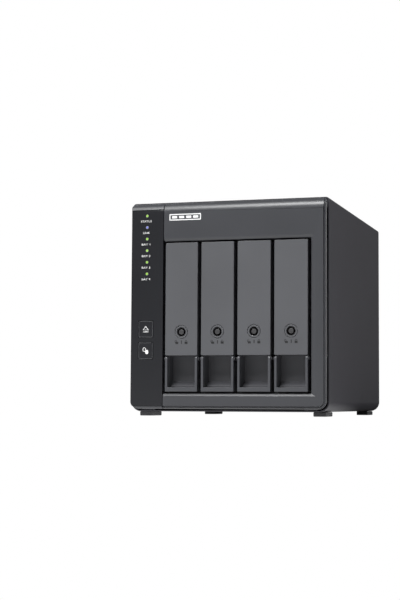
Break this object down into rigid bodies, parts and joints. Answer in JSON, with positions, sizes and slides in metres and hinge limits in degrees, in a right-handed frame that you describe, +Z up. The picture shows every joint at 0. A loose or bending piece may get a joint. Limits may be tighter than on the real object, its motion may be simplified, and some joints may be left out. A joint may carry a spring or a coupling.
{
  "type": "nas enclosure",
  "caption": "Desktop drive enclosure with pull-out trays, swing-out tray handles, key locks, a side indicator strip and a rear fan.",
  "frame": {"origin": "centre of the footprint, on the surface that the feet stand on", "axes": "+X to the right seen from the front, +Y from the front to the back, +Z up"},
  "size_m": [0.16, 0.219, 0.1685],
  "materials": {
    "cover": "fine textured powder coat",
    "bezel": "fine moulded grain",
    "panel": "dark satin",
    "face": "fine moulded grain",
    "handle": "fine moulded grain",
    "tray": "matte",
    "lock": "satin",
    "light_pipe": "translucent, lit",
    "board": "solder resist",
    "connector": "matte",
    "slider": "matte",
    "steel": "zinc plated",
    "fan": "matte",
    "foot": "matte"
  },
  "bodies": {
    "casing": {"outer_cover": "cover", "base_plate": "cover", "rear_panel": "cover", "front_bezel": "bezel", "bezel_strip": "bezel", "indicator_panel": "panel", "light_pipe_comb": "light_pipe", "front_board": "board", "cage_left_wall": "steel", "cage_right_wall": "steel", "cage_shelf": "steel", "upper_tray_guide": "connector", "lower_tray_guide": "connector", "backplane_board": "board", "main_board": "board", "sata_connector_1": "connector", "sata_connector_2": "connector", "sata_connector_3": "connector", "sata_connector_4": "connector", "usb_port": "steel", "power_jack": "connector", "dip_switch_block": "connector", "panel_screw_left": "steel", "panel_screw_right": "steel", "fan_frame": "fan", "foot_front_left": "foot", "foot_front_right": "foot", "foot_back_left": "foot", "foot_back_right": "foot"},
    "fan": {"fan_rotor": "fan"},
    "eject_key": {"eject_button": "panel"},
    "copy_key": {"copy_button": "panel"},
    "power_key": {"power_button": "connector"},
    "mode_slider_1": {"dip_slider_1": "slider"},
    "mode_slider_2": {"dip_slider_2": "slider"},
    "mode_slider_3": {"dip_slider_3": "slider"},
    "tray_1": {"tray_1_frame": "tray", "tray_1_face": "face", "tray_1_lower_clip": "handle", "tray_1_upper_clip": "handle"},
    "tray_2": {"tray_2_frame": "tray", "tray_2_face": "face", "tray_2_lower_clip": "handle", "tray_2_upper_clip": "handle"},
    "tray_3": {"tray_3_frame": "tray", "tray_3_face": "face", "tray_3_lower_clip": "handle", "tray_3_upper_clip": "handle"},
    "tray_4": {"tray_4_frame": "tray", "tray_4_face": "face", "tray_4_lower_clip": "handle", "tray_4_upper_clip": "handle"},
    "handle_1": {"tray_1_handle": "handle"},
    "handle_2": {"tray_2_handle": "handle"},
    "handle_3": {"tray_3_handle": "handle"},
    "handle_4": {"tray_4_handle": "handle"},
    "lock_1": {"tray_1_lock": "lock"},
    "lock_2": {"tray_2_lock": "lock"},
    "lock_3": {"tray_3_lock": "lock"},
    "lock_4": {"tray_4_lock": "lock"}
  },
  "joints": [
    {"name": "tray_1_slide", "type": "slide", "parent": "casing", "child": "tray_1", "axis": [0, -1, 0], "range_m": [0, 0.2]},
    {"name": "tray_2_slide", "type": "slide", "parent": "casing", "child": "tray_2", "axis": [0, -1, 0], "range_m": [0, 0.2]},
    {"name": "tray_3_slide", "type": "slide", "parent": "casing", "child": "tray_3", "axis": [0, -1, 0], "range_m": [0, 0.2]},
    {"name": "tray_4_slide", "type": "slide", "parent": "casing", "child": "tray_4", "axis": [0, -1, 0], "range_m": [0, 0.2]},
    {"name": "handle_1_swing", "type": "hinge", "parent": "tray_1", "child": "handle_1", "pos_m": [-0.03675, -0.1072, 0.0444], "axis": [-1, 0, 0], "range_deg": [0, 80]},
    {"name": "handle_2_swing", "type": "hinge", "parent": "tray_2", "child": "handle_2", "pos_m": [-0.00735, -0.1072, 0.0444], "axis": [-1, 0, 0], "range_deg": [0, 80]},
    {"name": "handle_3_swing", "type": "hinge", "parent": "tray_3", "child": "handle_3", "pos_m": [0.02205, -0.1072, 0.0444], "axis": [-1, 0, 0], "range_deg": [0, 80]},
    {"name": "handle_4_swing", "type": "hinge", "parent": "tray_4", "child": "handle_4", "pos_m": [0.05145, -0.1072, 0.0444], "axis": [-1, 0, 0], "range_deg": [0, 80]},
    {"name": "lock_1_turn", "type": "hinge", "parent": "tray_1", "child": "lock_1", "pos_m": [-0.03675, -0.105, 0.0654], "axis": [0, -1, 0], "range_deg": [0, 90]},
    {"name": "lock_2_turn", "type": "hinge", "parent": "tray_2", "child": "lock_2", "pos_m": [-0.00735, -0.105, 0.0654], "axis": [0, -1, 0], "range_deg": [0, 90]},
    {"name": "lock_3_turn", "type": "hinge", "parent": "tray_3", "child": "lock_3", "pos_m": [0.02205, -0.105, 0.0654], "axis": [0, -1, 0], "range_deg": [0, 90]},
    {"name": "lock_4_turn", "type": "hinge", "parent": "tray_4", "child": "lock_4", "pos_m": [0.05145, -0.105, 0.0654], "axis": [0, -1, 0], "range_deg": [0, 90]},
    {"name": "eject_press", "type": "slide", "parent": "casing", "child": "eject_key", "axis": [0, 1, 0], "range_m": [0, 0.0008], "stiffness_N_per_m": 400, "springref_m": -0.002},
    {"name": "copy_press", "type": "slide", "parent": "casing", "child": "copy_key", "axis": [0, 1, 0], "range_m": [0, 0.0008], "stiffness_N_per_m": 400, "springref_m": -0.002},
    {"name": "power_press", "type": "slide", "parent": "casing", "child": "power_key", "axis": [0, -1, 0], "range_m": [0, 0.001], "stiffness_N_per_m": 400, "springref_m": -0.002},
    {"name": "mode_1_slide", "type": "slide", "parent": "casing", "child": "mode_slider_1", "axis": [1, 0, 0], "range_m": [0, 0.002]},
    {"name": "mode_2_slide", "type": "slide", "parent": "casing", "child": "mode_slider_2", "axis": [1, 0, 0], "range_m": [0, 0.002]},
    {"name": "mode_3_slide", "type": "slide", "parent": "casing", "child": "mode_slider_3", "axis": [1, 0, 0], "range_m": [0, 0.002]},
    {"name": "fan_spin", "type": "hinge", "parent": "casing", "child": "fan", "pos_m": [0.012, 0.0935, 0.084], "axis": [0, 1, 0], "continuous": true}
  ]
}
